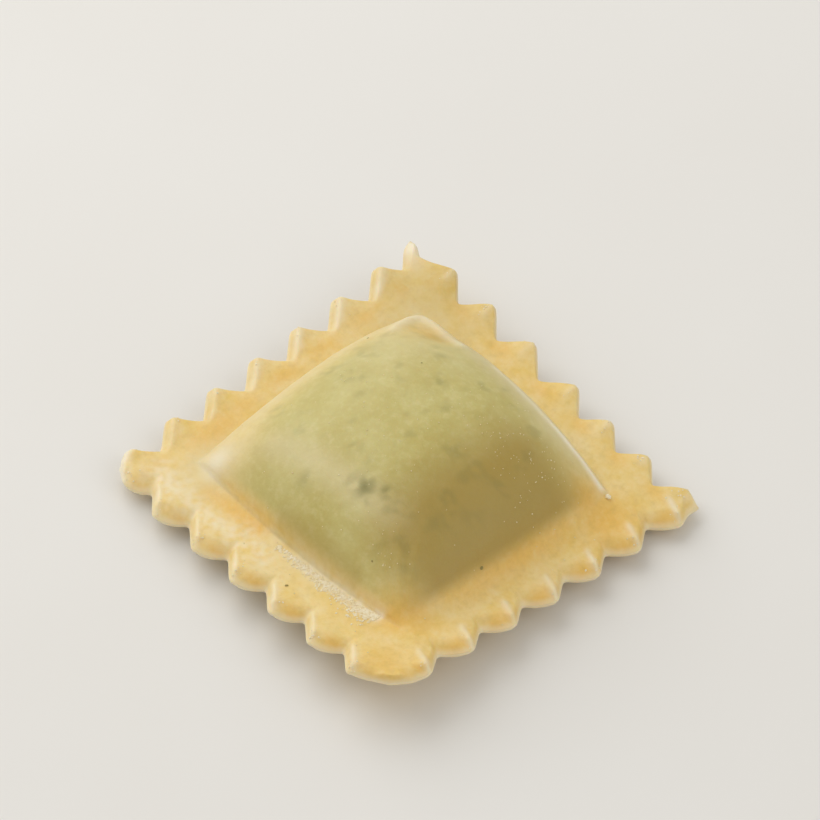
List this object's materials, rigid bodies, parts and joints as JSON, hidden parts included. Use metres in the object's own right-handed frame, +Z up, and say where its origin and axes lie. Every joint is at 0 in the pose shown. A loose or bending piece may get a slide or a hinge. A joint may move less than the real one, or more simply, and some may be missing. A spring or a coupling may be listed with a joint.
{
  "type": "fluted ravioli",
  "caption": "Square filled pasta pillow with a pinked, fluted rim, slightly warped, for setting on a plate or a board.",
  "frame": {"origin": "centre of the bounding box at the height of the surface that the piece lies on", "axes": "+Z up through the thickness, +X and +Y along the two edges of the square"},
  "size_m": [0.0468, 0.0458, 0.0145],
  "materials": {
    "dough": "soft satin fresh egg dough, green filling showing through"
  },
  "bodies": {
    "root": {"raviolo": "dough"}
  },
  "joints": []
}
